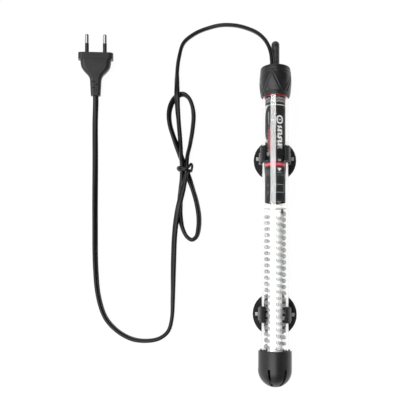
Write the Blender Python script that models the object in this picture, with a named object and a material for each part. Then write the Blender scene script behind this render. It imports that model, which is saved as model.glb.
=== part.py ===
"""Submersible aquarium heater, laid on its suction cups, with its cord and flat two-pin plug.

Frame: the tube's axis lies along Y at height AXIS_Z, the cap towards +Y and the guard towards -Y.
The suction cups' rims stand on z = 0 and the label faces +Z. Sizes are in metres, MM turns
millimetres into them. Heights written from the axis are v, across the tube u.
"""
import math

import bmesh
import bpy
from mathutils import Matrix, Vector

MM = 0.001
GAP = 0.3 * MM

# Whole heater
KNOB_TIP_Y = 156 * MM
GUARD_FOOT_Y = -156.7 * MM
AXIS_Z = 25 * MM

# Glass tube
TUBE_R = 11.8 * MM
TUBE_WALL = 1.5 * MM
TUBE_TOP_Y = 121 * MM
TUBE_ROUND_Y = -127.5 * MM

# Cap and its four raised grip triangles
CAP_RIM_Y = 101.6 * MM
CAP_TOP_Y = 130 * MM
CAP_PADS = 4
CAP_FIRST_PAD = math.radians(-12.5)
PAD_HEIGHT = 0.5 * MM
PAD_APEX_Y = 121 * MM
PAD_BASE_Y = 104.5 * MM
PAD_HALF_WIDTH = 7.5 * MM

# Bottom guard
GUARD_R = 14.5 * MM
GUARD_WALL = 1.5 * MM
GUARD_RIM_Y = -126 * MM
GUARD_SLOTS = 6
GUARD_SLOT_WIDTH = 2.3 * MM
GUARD_FIRST_SLOT = math.radians(-21.5)
GUARD_RIB_ANGLES = [38, 68, 112, 142]

# Knob, stem and dial
KNOB_R = 3.75 * MM
KNOB_NECK_R = 2.4 * MM
STEM_R = 1.5 * MM
STEM_Y = (20 * MM, 141 * MM)
DIAL_Y = (34.6 * MM, 42.6 * MM)

# Printed sleeves inside the glass
SLEEVE_R = 9.2 * MM
SLEEVE_WALL = 0.4 * MM
SLEEVE_TOP_Y = 100.3 * MM
SLEEVE_END_Y = 3.8 * MM

# Stopper in the tube's mouth
STOPPER_Y = (100.9 * MM, 121.3 * MM, 124.3 * MM)

# Heating element
CORE_R = 6.3 * MM
CORE_Y = (-4.2 * MM, -126.5 * MM)
COIL_R = 8.3 * MM
COIL_WIRE_R = 1.4 * MM
COIL_PITCH = 5.4 * MM
COIL_START_Y = -5.9 * MM
COIL_TURNS = 22
COIL_START = math.radians(38)

# Clips and suction cups
CUP_R = 20 * MM
CUP_Y = {"upper": 47.5 * MM, "lower": -95.3 * MM}
CLIP_BORE_R = TUBE_R + GAP
CLIP_OUTER_R = 13.7 * MM
CLIP_WIDTH = 14 * MM
CLIP_MOUTH = math.radians(42)

# Flat twin cord, 5.6 by 3.6 mm, drawn as a round tube between those two sizes
CORD_R = 2.0 * MM
CORD_POINTS = 80
GLAND_R = 3.4 * MM
GLAND_Y = (127.2 * MM, 131.4 * MM)
GLAND_AT = (-2.8 * MM, 6.6 * MM)

# The cord's route in millimetres: out of the cap and down to the tie, round the lower loop,
# round the upper loop, and away to the plug
ROUTE_OUT = [
    (-2.8, 131.7, 31.6), (-4, 142, 30.8), (-6, 149, 29.4), (-9.5, 156.5, 27), (-16, 165, 22.6),
    (-26, 173, 16), (-39, 179.5, 9.4), (-54, 182, 4.6), (-69, 179, 2.4), (-81, 173, 2.1),
    (-89.5, 165, 2.1), (-93.5, 151, 2.1), (-95, 136, 2.8), (-94.5, 123, 5.6), (-94, 111, 6.7),
    (-93.4, 99, 5), (-92.4, 86, 2.6), (-91, 73, 2.2), (-89.8, 61, 3.6), (-88.4, 50, 7.2)]
ROUTE_LOWER_LOOP = [
    (-87.6, 40, 7.7), (-87.9, 31, 4.6), (-88.6, 21, 2.2), (-89.2, 8, 2.1), (-88.8, -6, 2.1),
    (-86, -18, 2.1), (-81.8, -25.6, 2.1), (-77, -28.4, 2.1), (-72.9, -25.4, 2.1),
    (-71, -17, 2.1), (-71, -6, 2.1), (-73.4, 7, 2.1), (-77, 19, 2.3), (-80.8, 29.5, 3.3)]
ROUTE_UPPER_LOOP = [
    (-84.4, 39, 3.4), (-88, 48, 3), (-92, 58, 2.2), (-97, 71, 2.1), (-101, 84, 2.1),
    (-101.8, 95, 2.1), (-99.4, 105, 2.1), (-94.4, 111.6, 2.1), (-88.6, 113.2, 2.1),
    (-83.6, 110, 2.1), (-80, 103, 2.1), (-78, 92, 2.1), (-78.8, 77, 2.1), (-80.8, 63, 2.8)]
ROUTE_AWAY = [
    (-82.6, 51, 6.6), (-83, 40, 7.9), (-84.4, 28, 6.9), (-87, 15, 6.5), (-89.8, 3, 6.4),
    (-92, -9, 4.4), (-93.6, -24, 2.3), (-94, -48, 2.1), (-93.8, -82, 2.1), (-94.3, -102, 2.1),
    (-97.4, -113, 2.1), (-105, -119.4, 2.1), (-117, -122, 2.1), (-131, -120.6, 2.1),
    (-145, -113.6, 2.1), (-156.5, -102, 2.1), (-164, -83, 2.1), (-168, -56, 2.1),
    (-170.7, -10, 2.1), (-173.2, 50, 2.1), (-174.8, 86, 2.4)]

# Twist tie: one wire wrapped round the strands, from its stub over and under to its tail
TIE_R = 0.7 * MM
ROUTE_TIE = [
    (-90.9, 38.9, 5.6), (-89.9, 37.9, 9), (-87.4, 37.3, 10.9), (-83.4, 36.9, 11.2),
    (-80.2, 36.8, 8.8), (-79.2, 36.8, 4.6), (-80.4, 37, 1), (-85, 37.4, 0.8),
    (-90.2, 38, 0.9), (-91.6, 38.8, 3.4), (-91.2, 39.6, 8), (-88.2, 39.3, 11),
    (-85, 38.8, 11.4), (-82.3, 39.2, 11.3), (-80.2, 41.1, 10.6), (-78.4, 43.2, 9.8),
    (-77.2, 41.5, 9.2), (-76.9, 38.6, 8.9), (-78.2, 35.2, 8.8)]

# Flat two-pin plug
PLUG_FACE = (-174.9 * MM, 153.2 * MM, 10.6 * MM)
PLUG_TURN = math.radians(0.2)
PLUG_PITCH = math.radians(8)
PLUG_ROLL = math.radians(11)
PLUG_SECTIONS = [
    (0, 17, 6.85), (6.3, 17, 6.85), (6.5, 14.9, 6.6), (10, 14.7, 6.6), (14, 13.9, 6.4),
    (16.8, 12.1, 6.1), (18.8, 10.3, 5.8), (21.3, 7.8, 5.3), (23.8, 6.2, 4.9), (26.5, 5.5, 4.6),
    (31, 5.3, 4.4), (41.7, 4.7, 4)]
PLUG_LENGTH = PLUG_SECTIONS[-1][0] * MM
PIN_R = 2.0 * MM
PIN_CORE_R = 1.3 * MM
PIN_LENGTH = 19 * MM
PIN_SLEEVE_LENGTH = 10 * MM
PIN_ROOT = 6 * MM
PIN_SPACING = 17.4 * MM
RELIEF_NOTCHES = 4

BLACK = (0.02, 0.02, 0.022)
STEEL = (0.55, 0.55, 0.56)
BRASS = (0.72, 0.56, 0.26)
SEGMENTS = 32


def clear_scene():
    for old in list(bpy.data.objects):
        bpy.data.objects.remove(old, do_unlink=True)


def material(name, colour, roughness, metallic=0.0, alpha=1.0):
    made = bpy.data.materials.new(name)
    made.use_nodes = True
    shader = made.node_tree.nodes["Principled BSDF"]
    shader.inputs["Base Color"].default_value = (*colour, 1.0)
    shader.inputs["Roughness"].default_value = roughness
    shader.inputs["Metallic"].default_value = metallic
    shader.inputs["Alpha"].default_value = alpha
    return made


def add_object(name, bm, look=None, origin=(0, 0, 0), turn=(0, 0, 0)):
    """Store a bmesh, built about its own origin, as a named object."""
    bmesh.ops.recalc_face_normals(bm, faces=bm.faces[:])
    mesh = bpy.data.meshes.new(name)
    bm.to_mesh(mesh)
    bm.free()
    mesh.shade_smooth()
    mesh.set_sharp_from_angle(angle=math.radians(30))
    if look:
        mesh.materials.append(look)
    obj = bpy.data.objects.new(name, mesh)
    obj.location = origin
    obj.rotation_euler = turn
    bpy.context.collection.objects.link(obj)
    return obj


def helper(name, bm, origin=(0, 0, 0), turn=(0, 0, 0)):
    """A closed body used only by Boolean modifiers."""
    obj = add_object(name, bm, None, origin, turn)
    obj.hide_render = True
    obj.display_type = "WIRE"
    return obj


def boolean(obj, other, operation="DIFFERENCE"):
    step = obj.modifiers.new(operation.title() + " " + other.name, "BOOLEAN")
    step.operation = operation
    step.object = other
    step.solver = "EXACT"


def revolve(profile, axis="Y", segments=SEGMENTS):
    """Turn (radius, height) points about an axis. A profile that starts off the axis is closed."""
    bm = bmesh.new()
    rings = []
    for radius, height in profile:
        count = segments if radius > 1e-7 else 1
        ring = []
        for i in range(count):
            a = 2 * math.pi * i / segments
            u, v = radius * math.cos(a), radius * math.sin(a)
            ring.append(bm.verts.new((u, height, v) if axis == "Y" else (u, v, height)))
        rings.append(ring)
    pairs = list(zip(rings, rings[1:]))
    if profile[0][0] > 1e-7:
        pairs.append((rings[-1], rings[0]))
    for low, high in pairs:
        for i in range(segments):
            j = i + 1
            corners = [low[i % len(low)], low[j % len(low)], high[j % len(high)], high[i % len(high)]]
            corners = list(dict.fromkeys(corners))
            if len(corners) > 2:
                bm.faces.new(corners)
    return bm


def arc(centre_r, centre_h, radius, start, end, steps):
    """Points of a round stretch of a profile, angles in degrees from straight out."""
    angles = [math.radians(start + (end - start) * i / steps) for i in range(steps + 1)]
    return [(max(centre_r + radius * math.cos(a), 0.0), centre_h + radius * math.sin(a)) for a in angles]


def extrude_outline(points, axis, low, high):
    """A prism from a closed outline: across X and Z for axis Y, across X and Y for axis Z."""
    bm = bmesh.new()
    make = (lambda p, q, h: (p, h, q)) if axis == "Y" else (lambda p, q, h: (p, q, h))
    face = bm.faces.new([bm.verts.new(make(p, q, low)) for p, q in points])
    top = bmesh.ops.extrude_face_region(bm, geom=[face])["geom"]
    moved = [item for item in top if isinstance(item, bmesh.types.BMVert)]
    shift = Vector(make(0, 0, high - low))
    bmesh.ops.translate(bm, vec=shift, verts=moved)
    return bm


def box(low, high):
    bm = bmesh.new()
    size = Vector(high) - Vector(low)
    middle = (Vector(high) + Vector(low)) / 2
    bmesh.ops.create_cube(bm, size=1.0)
    bmesh.ops.scale(bm, vec=size, verts=bm.verts)
    bmesh.ops.translate(bm, vec=middle, verts=bm.verts)
    return bm


def wire(name, points, radius, look, sides=0):
    """A round wire or cord along the points, with filled ends."""
    curve = bpy.data.curves.new(name, "CURVE")
    curve.dimensions = "3D"
    curve.resolution_u = 1
    curve.render_resolution_u = 0
    curve.bevel_depth = radius
    curve.bevel_resolution = sides
    curve.use_fill_caps = True
    spline = curve.splines.new("POLY")
    spline.points.add(len(points) - 1)
    for target, point in zip(spline.points, points):
        target.co = (*point, 1.0)
    curve.materials.append(look)
    obj = bpy.data.objects.new(name, curve)
    bpy.context.collection.objects.link(obj)
    return obj


def smooth_path(route, count):
    """Read count points, at even steps of the route's own points, from a curve through them."""
    nodes = [Vector(p) for p in route]
    nodes = [2 * nodes[0] - nodes[1]] + nodes + [2 * nodes[-1] - nodes[-2]]
    knots = [0.0]
    for a, b in zip(nodes, nodes[1:]):
        knots.append(knots[-1] + math.sqrt((b - a).length))
    points = []
    spans = len(route) - 1
    for i in range(count):
        place = spans * i / (count - 1)
        k = min(int(place), spans - 1)
        t = knots[k + 1] + (place - k) * (knots[k + 2] - knots[k + 1])
        level = nodes[k:k + 4]
        times = knots[k:k + 4]
        for depth in (1, 2, 3):
            level = [
                blend_points(level[j], level[j + 1], times, t, depth, j) for j in range(len(level) - 1)]
        points.append(level[0])
    return points


def blend_points(a, b, times, t, depth, j):
    """One step of the Barry-Goldman pyramid for a centripetal Catmull-Rom curve."""
    if depth == 1:
        start, end = times[j], times[j + 1]
    elif depth == 2:
        start, end = times[j], times[j + 2]
    else:
        start, end = times[1], times[2]
    share = (t - start) / (end - start)
    return a * (1 - share) + b * share


def from_axis(points):
    """Points given as (u, y, v) in millimetres about the tube's axis, in the frame's metres."""
    return [Vector((u * MM, y * MM, AXIS_Z + v * MM)) for u, y, v in points]


def on_axis(name, profile, look, segments=SEGMENTS):
    return add_object(name, revolve(profile, "Y", segments), look, (0, 0, AXIS_Z))


# The tube and what closes it

def make_tube(look):
    inner = TUBE_R - TUBE_WALL
    outside = arc(0, TUBE_ROUND_Y, TUBE_R, -90, 0, 6)
    inside = arc(0, TUBE_ROUND_Y, inner, 0, -90, 6)
    profile = outside + [(TUBE_R, TUBE_TOP_Y), (inner, TUBE_TOP_Y)] + inside
    return on_axis("glass_tube", profile, look)


def cap_outline(grow=0.0):
    """Outer profile of the barrel-shaped cap, from its rim to its top edge."""
    rows = [(13.2, 101.6), (13.35, 103), (13.5, 106), (13.85, 110), (14.2, 114), (14.3, 119),
            (14.15, 124), (13.9, 127), (13.65, 128.7), (12.9, 129.6), (8, 130)]
    return [(r * MM + grow, y * MM) for r, y in rows]


def make_cap(look):
    bore = TUBE_R + GAP
    inside = [(KNOB_NECK_R + GAP, CAP_TOP_Y), (KNOB_NECK_R + GAP, 126.6 * MM), (bore, 126.6 * MM),
              (bore, CAP_RIM_Y)]
    cap = on_axis("cap", cap_outline() + inside, look)
    for k in range(CAP_PADS):
        triangle = [(0, PAD_APEX_Y), (-PAD_HALF_WIDTH, PAD_BASE_Y), (PAD_HALF_WIDTH, PAD_BASE_Y)]
        turn = (0, CAP_FIRST_PAD + 2 * math.pi * k / CAP_PADS, 0)
        pad = helper(f"pad_prism_{k}", extrude_outline(triangle, "Z", 13 * MM, 18 * MM),
                     (0, 0, AXIS_Z), turn)
        side = cap_outline(PAD_HEIGHT)[:8]
        shell = [(12.8 * MM, side[-1][1]), (12.8 * MM, side[0][1])]
        skin = helper(f"pad_skin_{k}", revolve(side + shell), (0, 0, AXIS_Z))
        boolean(pad, skin, "INTERSECT")
        boolean(cap, pad, "UNION")
    hole = revolve([(0, 120 * MM), (GLAND_R + GAP, 120 * MM), (GLAND_R + GAP, 140 * MM), (0, 140 * MM)])
    boolean(cap, helper("gland_hole", hole, (GLAND_AT[0], 0, AXIS_Z + GLAND_AT[1])))
    return cap


def make_stopper(look):
    low, shoulder, top = STOPPER_Y
    plug_r = TUBE_R - TUBE_WALL - GAP
    seat_r, seat_y = 3.6 * MM, 122 * MM
    profile = [(STEM_R + GAP, low), (plug_r, low), (plug_r, shoulder), (11.6 * MM, shoulder),
               (11.6 * MM, top), (seat_r, top), (seat_r, seat_y), (STEM_R + GAP, seat_y)]
    stopper = on_axis("stopper", profile, look)
    hole = revolve([(0, 90 * MM), (2.3 * MM, 90 * MM), (2.3 * MM, 130 * MM), (0, 130 * MM)])
    boolean(stopper, helper("lead_hole", hole, (GLAND_AT[0], 0, AXIS_Z + GLAND_AT[1])))
    return stopper


def make_guard(look):
    centre_y = GUARD_FOOT_Y + GUARD_R
    inner = GUARD_R - GUARD_WALL
    outside = arc(0, centre_y, GUARD_R, -90, 0, 7)
    inside = arc(0, centre_y, inner, 0, -90, 5)
    profile = outside + [(GUARD_R, GUARD_RIM_Y), (inner, GUARD_RIM_Y)] + inside
    guard = on_axis("bottom_guard", profile, look)
    for k in range(GUARD_SLOTS):
        half = GUARD_SLOT_WIDTH / 2
        cut = box((-half, GUARD_FOOT_Y + 1.2 * MM, 3 * MM), (half, -141 * MM, 20 * MM))
        turn = (0, GUARD_FIRST_SLOT + 2 * math.pi * k / GUARD_SLOTS, 0)
        boolean(guard, helper(f"guard_slot_{k}", cut, (0, 0, AXIS_Z), turn))
    for angle in GUARD_RIB_ANGLES + [-a for a in GUARD_RIB_ANGLES]:
        rib = box((-0.9 * MM, -138 * MM, 12.15 * MM), (0.9 * MM, -125 * MM, 13.6 * MM))
        boolean(guard, helper(f"guard_rib_{angle}", rib, (0, 0, AXIS_Z), (0, math.radians(angle), 0)), "UNION")
    return guard


# Knob and dial

def make_knob(look):
    tip = arc(0, KNOB_TIP_Y - KNOB_R, KNOB_R, 90, 0, 6)
    bore_r, bore_top = STEM_R + GAP, STEM_Y[1] + GAP
    profile = tip + [(KNOB_R, CAP_TOP_Y + GAP), (KNOB_NECK_R, CAP_TOP_Y + GAP), (KNOB_NECK_R, 125 * MM),
                     (bore_r, 125 * MM), (bore_r, bore_top), (0, bore_top)]
    knob = on_axis("temperature_knob", profile, look, 24)
    dimple = box((-0.5 * MM, 148.5 * MM, 3.1 * MM), (0.5 * MM, 151.5 * MM, 5 * MM))
    boolean(knob, helper("knob_mark", dimple, (0, 0, AXIS_Z)))
    return knob


def make_stem(look):
    low, high = STEM_Y
    return on_axis("adjuster_stem", [(0, low), (STEM_R, low), (STEM_R, high), (0, high)], look, 16)


def make_seal(look):
    return on_axis("stem_seal", arc(2.65 * MM, 123.1 * MM, 0.7 * MM, 0, 300, 5), look, 16)


def make_dial(look):
    low, high = DIAL_Y
    inner = SLEEVE_R - SLEEVE_WALL
    dial = on_axis("dial_ring", [(SLEEVE_R, low), (SLEEVE_R, high), (inner, high), (inner, low)], look)
    hub = revolve([(3 * MM, 36.5 * MM), (3 * MM, 40.7 * MM), (STEM_R + GAP, 40.7 * MM),
                   (STEM_R + GAP, 36.5 * MM)], "Y", 20)
    arm = box((-1.2 * MM, 37 * MM, 2.3 * MM), (1.2 * MM, 40 * MM, 9 * MM))
    boolean(dial, helper("dial_arm", arm, (0, 0, AXIS_Z)), "UNION")
    boolean(dial, helper("dial_hub", hub, (0, 0, AXIS_Z)), "UNION")
    return dial


def make_sleeve(name, low, high, look):
    inner = SLEEVE_R - SLEEVE_WALL
    return on_axis(name, [(SLEEVE_R, low), (SLEEVE_R, high), (inner, high), (inner, low)], look)


# Thermostat

def make_thermostat(looks):
    wide, narrow = 4.6 * MM, 2.2 * MM
    steps = [(wide, 3), (wide, 33), (narrow, 34), (narrow, 44), (wide, 45), (wide, 96)]
    right = [(u, y * MM) for u, y in steps]
    left = [(-u, y) for u, y in reversed(right)]
    frame = extrude_outline(right + left, "Z", -6.6 * MM, -5.4 * MM)
    add_object("thermostat_frame", frame, looks["board"], (0, 0, AXIS_Z))

    bush_at = (0, 24.5 * MM, AXIS_Z)
    block = box((-2.4 * MM, -2.5 * MM, -2.4 * MM), (2.4 * MM, 2.5 * MM, 2.4 * MM))
    bush = add_object("threaded_bush", block, looks["brass"], bush_at)
    foot = box((-2.4 * MM, -2.5 * MM, -5.1 * MM), (0.6 * MM, 2.5 * MM, -2 * MM))
    boolean(bush, helper("bush_foot", foot, bush_at), "UNION")
    thread = revolve([(0, -5 * MM), (STEM_R + GAP, -5 * MM), (STEM_R + GAP, 5 * MM), (0, 5 * MM)], "Y", 16)
    boolean(bush, helper("bush_thread", thread, bush_at))

    strip = box((5.3 * MM, 5 * MM, -2.6 * MM), (5.9 * MM, 31 * MM, 2.6 * MM))
    strip = add_object("bimetal_strip", strip, looks["steel"], (0, 0, AXIS_Z))
    foot = box((3.4 * MM, 5 * MM, -5.1 * MM), (5.5 * MM, 9 * MM, 1.6 * MM))
    boolean(strip, helper("bimetal_foot", foot, (0, 0, AXIS_Z)), "UNION")

    pin_at = (-3.9 * MM, 5.6 * MM, AXIS_Z)
    pin = revolve([(0, -5.1 * MM), (0.8 * MM, -5.1 * MM), (0.8 * MM, 3.4 * MM), (0, 3.4 * MM)], "Z", 16)
    add_object("contact_arm_pin", pin, looks["brass"], pin_at)
    leaf = box((-0.25 * MM, 1.5 * MM, -2.5 * MM), (0.25 * MM, 22.4 * MM, 2.5 * MM))
    arm = add_object("contact_arm", leaf, looks["brass"], pin_at)
    eye = revolve([(1.1 * MM, -2.5 * MM), (1.8 * MM, -2.5 * MM), (1.8 * MM, 2.5 * MM), (1.1 * MM, 2.5 * MM)],
                  "Z", 16)
    boolean(arm, helper("contact_arm_eye", eye, pin_at), "UNION")

    post = box((-6.8 * MM, 25 * MM, -5.1 * MM), (-5.5 * MM, 29 * MM, 2 * MM))
    add_object("fixed_contact", post, looks["brass"], (0, 0, AXIS_Z))
    magnet = box((-6.8 * MM, 19 * MM, -2.6 * MM), (-5.4 * MM, 24 * MM, 1.8 * MM))
    add_object("snap_magnet", magnet, looks["steel"], (0, 0, AXIS_Z))


def make_electrics(looks):
    lamp = revolve([(0, 60 * MM), (1.6 * MM, 60.4 * MM), (2.1 * MM, 62 * MM), (2.1 * MM, 68 * MM),
                    (1.2 * MM, 70 * MM), (0, 70.6 * MM)], "Y", 16)
    add_object("indicator_lamp", lamp, looks["lamp"], (-4 * MM, 0, AXIS_Z + 3.2 * MM))
    resistor = revolve([(0, 56 * MM), (1.2 * MM, 56 * MM), (1.2 * MM, 63 * MM), (0, 63 * MM)], "Y", 16)
    add_object("lamp_resistor", resistor, looks["board"], (4.4 * MM, 0, AXIS_Z + 3.6 * MM))
    capacitor = box((3 * MM, 74 * MM, -3.5 * MM), (7 * MM, 88 * MM, 1.5 * MM))
    add_object("interference_capacitor", capacitor, looks["board"], (0, 0, AXIS_Z))

    wire("live_lead", from_axis([
        (-3.8, 126.8, 6.6), (-3.8, 98, 6.6), (-5.8, 91, 3.8), (-6.6, 81, -0.6), (-5.2, 62, -3.6),
        (-2.4, 50, -4.5), (-1.5, 45, -4.6), (-1.5, 34, -4.6), (-3.4, 31.4, -4.4), (-5.9, 29.9, -3.8)]),
         0.5 * MM, looks["insulation"])
    wire("neutral_lead", from_axis([
        (-1.8, 126.8, 6.6), (-1.8, 98, 6.6), (2.4, 93, 6.4), (5.6, 86, 4.2), (6.6, 73, 2.4),
        (6.2, 67, -1.4), (4, 55, -4.2), (1.6, 46, -4.6), (1.5, 33, -4.6), (1.6, 10, -4.6),
        (2.6, 5, -3.6), (5.4, 1.6, 2.2), (5.8, -1.2, 3.4), (5.9, -3, 4.4), (6.1, -4.1, 4.8)]),
         0.5 * MM, looks["insulation"])
    wire("return_lead", from_axis([
        (-3.2, 3.4, -3.6), (-2, 2.4, -2), (0, 0.6, 0), (0, -3, 0), (0, -128, 0)]),
         0.5 * MM, looks["steel"])


# Heating element

def make_heater(looks):
    high, low = CORE_Y
    bore = 1.1 * MM
    on_axis("ceramic_core", [(bore, low), (CORE_R, low), (CORE_R, high), (bore, high)],
            looks["ceramic"], 24)
    steps = 12
    points = []
    for i in range(COIL_TURNS * steps + 1):
        a = COIL_START - 2 * math.pi * i / steps
        y = COIL_START_Y - COIL_PITCH * i / steps
        points.append(Vector((COIL_R * math.cos(a), y, AXIS_Z + COIL_R * math.sin(a))))
    wire("heating_coil", points, COIL_WIRE_R, looks["steel"])

    upper = on_axis("upper_spacer", [(0.9 * MM, -1.6 * MM), (9.9 * MM, -1.6 * MM),
                                     (9.9 * MM, -0.8 * MM), (0.9 * MM, -0.8 * MM)], looks["mica"], 32)
    hole = revolve([(0, -5 * MM), (0.9 * MM, -5 * MM), (0.9 * MM, 2 * MM), (0, 2 * MM)], "Y", 12)
    boolean(upper, helper("spacer_hole", hole, (5.8 * MM, 0, AXIS_Z + 3.4 * MM)))
    on_axis("lower_spacer", [(0.9 * MM, -127.8 * MM), (9.8 * MM, -127.8 * MM),
                             (9.8 * MM, -127 * MM), (0.9 * MM, -127 * MM)], looks["mica"], 32)


# Clips and suction cups

def make_clip(name, y, look):
    """A C-shaped ring on a base with two wings and a T-slot for the suction cup's head."""
    steps = 22
    turn = 2 * math.pi - 2 * CLIP_MOUTH
    angles = [CLIP_MOUTH + turn * i / steps for i in range(steps + 1)]
    outer = [(CLIP_OUTER_R * math.sin(a), CLIP_OUTER_R * math.cos(a)) for a in angles]
    inner = [(CLIP_BORE_R * math.sin(a), CLIP_BORE_R * math.cos(a)) for a in reversed(angles)]
    half = CLIP_WIDTH / 2
    at = (0, y, AXIS_Z)
    clip = add_object(name, extrude_outline(outer + inner, "Y", -half, half), look, at)
    base = box((-7.5 * MM, -half, -18 * MM), (7.5 * MM, half, -12.7 * MM))
    wings = [(-15, -5.5), (15, -5.5), (15, -1.5), (17.5, -1.5), (17.5, 1.5), (15, 1.5),
             (15, 5.5), (-15, 5.5), (-15, 1.5), (-17.5, 1.5), (-17.5, -1.5), (-15, -1.5)]
    wings = [(u * MM, w * MM) for u, w in wings]
    hollow = revolve([(0, -20 * MM), (CLIP_BORE_R, -20 * MM), (CLIP_BORE_R, 20 * MM), (0, 20 * MM)])
    boolean(clip, helper(name + "_base", base, at), "UNION")
    boolean(clip, helper(name + "_wings", extrude_outline(wings, "Z", -17.9 * MM, -16 * MM), at), "UNION")
    boolean(clip, helper(name + "_hollow", hollow, at))
    for part, reach, low, high in (("neck", 3.6, -19, -16.7), ("head", 5.1, -16.8, -14.2)):
        slot = [(reach * MM * math.cos(math.pi * (1 + i / 12)), reach * MM * math.sin(math.pi * (1 + i / 12)))
                for i in range(13)]
        slot += [(reach * MM, 9 * MM), (-reach * MM, 9 * MM)]
        boolean(clip, helper(f"{name}_{part}_slot", extrude_outline(slot, "Z", low * MM, high * MM), at))
    return clip


def make_cup(name, y, look):
    rows = [(0, 4.3), (7, 3.9), (14, 2.3), (18.6, 0), (20, 0), (20, 0.6), (17.5, 2.7), (11, 5.1),
            (3.2, 6.3), (3.2, 8.7), (4.7, 8.8), (4.7, 9.9), (3.8, 10.4), (0, 10.4)]
    profile = [(r * MM, z * MM) for r, z in rows]
    return add_object(name, revolve(profile, "Z", SEGMENTS), look, (0, y, 0))


# Cord, tie and plug

def plug_matrix():
    turn = Matrix.Rotation(PLUG_TURN, 4, "Z") @ Matrix.Rotation(PLUG_PITCH, 4, "X")
    return Matrix.Translation(PLUG_FACE) @ turn @ Matrix.Rotation(PLUG_ROLL, 4, "Y")


def plug_section(half_width, half_height, y, corner=0.62, steps=5):
    """A rounded rectangle across the plug, as points (x, y, z)."""
    radius = corner * half_height
    points = []
    for quarter in range(4):
        cx = (half_width - radius) * (1 if quarter in (0, 3) else -1)
        cz = (half_height - radius) * (1 if quarter in (0, 1) else -1)
        for i in range(steps):
            a = math.pi / 2 * (quarter + i / (steps - 1))
            points.append(Vector((cx + radius * math.cos(a), y, cz + radius * math.sin(a))))
    return points


def make_plug(looks):
    bm = bmesh.new()
    rings = []
    for back, half_width, half_height in PLUG_SECTIONS:
        section = plug_section(half_width * MM, half_height * MM, -back * MM)
        rings.append([bm.verts.new(p) for p in section])
    for low, high in zip(rings, rings[1:]):
        for i in range(len(low)):
            j = (i + 1) % len(low)
            bm.faces.new([low[i], low[j], high[j], high[i]])
    bm.faces.new(rings[0])
    bm.faces.new(rings[-1])
    frame = plug_matrix()
    turn = frame.to_euler()
    body = add_object("plug_body", bm, looks["cord"], frame.translation, turn)
    for k in range(RELIEF_NOTCHES):
        side = 1 if k % 2 else -1
        across = sorted((side * 0.3 * MM, side * 3.4 * MM))
        y = (-28.4 - 2.9 * k) * MM
        for face in (-1, 1):
            height = sorted((face * 2.9 * MM, face * 8 * MM))
            notch = box((across[0], y - 0.6 * MM, height[0]), (across[1], y + 0.6 * MM, height[1]))
            boolean(body, helper(f"relief_notch_{k}_{face}", notch, frame.translation, turn))
    for side, label in ((-1, "left"), (1, "right")):
        at = frame @ Vector((side * PIN_SPACING / 2, 0, 0))
        bore_r = PIN_CORE_R + GAP
        bore = revolve([(0, -PIN_ROOT - GAP), (bore_r, -PIN_ROOT - GAP), (bore_r, 5 * MM), (0, 5 * MM)],
                       "Y", 16)
        boolean(body, helper(f"pin_bore_{label}", bore, at, turn))
        make_pin(f"plug_pin_{label}", at, turn, looks["nickel"])
        sleeve = [(PIN_CORE_R + GAP, GAP), (1.95 * MM, GAP), (1.95 * MM, PIN_SLEEVE_LENGTH - GAP),
                  (PIN_CORE_R + GAP, PIN_SLEEVE_LENGTH - GAP)]
        add_object(f"pin_sleeve_{label}", revolve(sleeve, "Y", 16), looks["cord"], at, turn)


def make_pin(name, at, turn, look):
    tip = PIN_LENGTH
    profile = [(0, -PIN_ROOT), (PIN_CORE_R, -PIN_ROOT), (PIN_CORE_R, PIN_SLEEVE_LENGTH),
               (PIN_R, PIN_SLEEVE_LENGTH), (PIN_R, tip - 1.2 * MM), (1.6 * MM, tip - 0.4 * MM),
               (0.9 * MM, tip), (0, tip)]
    return add_object(name, revolve(profile, "Y", 16), look, at, turn)


def make_cord(look):
    plug_end = plug_matrix() @ Vector((0, -PLUG_LENGTH - GAP, 0))
    plug_lead = plug_matrix() @ Vector((0, -PLUG_LENGTH - 8 * MM, 0))
    route = [Vector(p) * MM for p in ROUTE_OUT + ROUTE_LOWER_LOOP + ROUTE_UPPER_LOOP + ROUTE_AWAY]
    return wire("cord", smooth_path(route + [plug_lead, plug_end], CORD_POINTS), CORD_R, look, 2)


def make_gland(look):
    low, high = GLAND_Y
    profile = [(0, low), (GLAND_R, low), (GLAND_R, CAP_TOP_Y + GAP), (2.9 * MM, high), (0, high)]
    return add_object("cord_gland", revolve(profile, "Y", 20), look,
                      (GLAND_AT[0], 0, AXIS_Z + GLAND_AT[1]))


def make_tie(look):
    route = [Vector(p) * MM for p in ROUTE_TIE]
    return wire("cord_tie", smooth_path(route, 37), TIE_R, look, 1)


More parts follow.
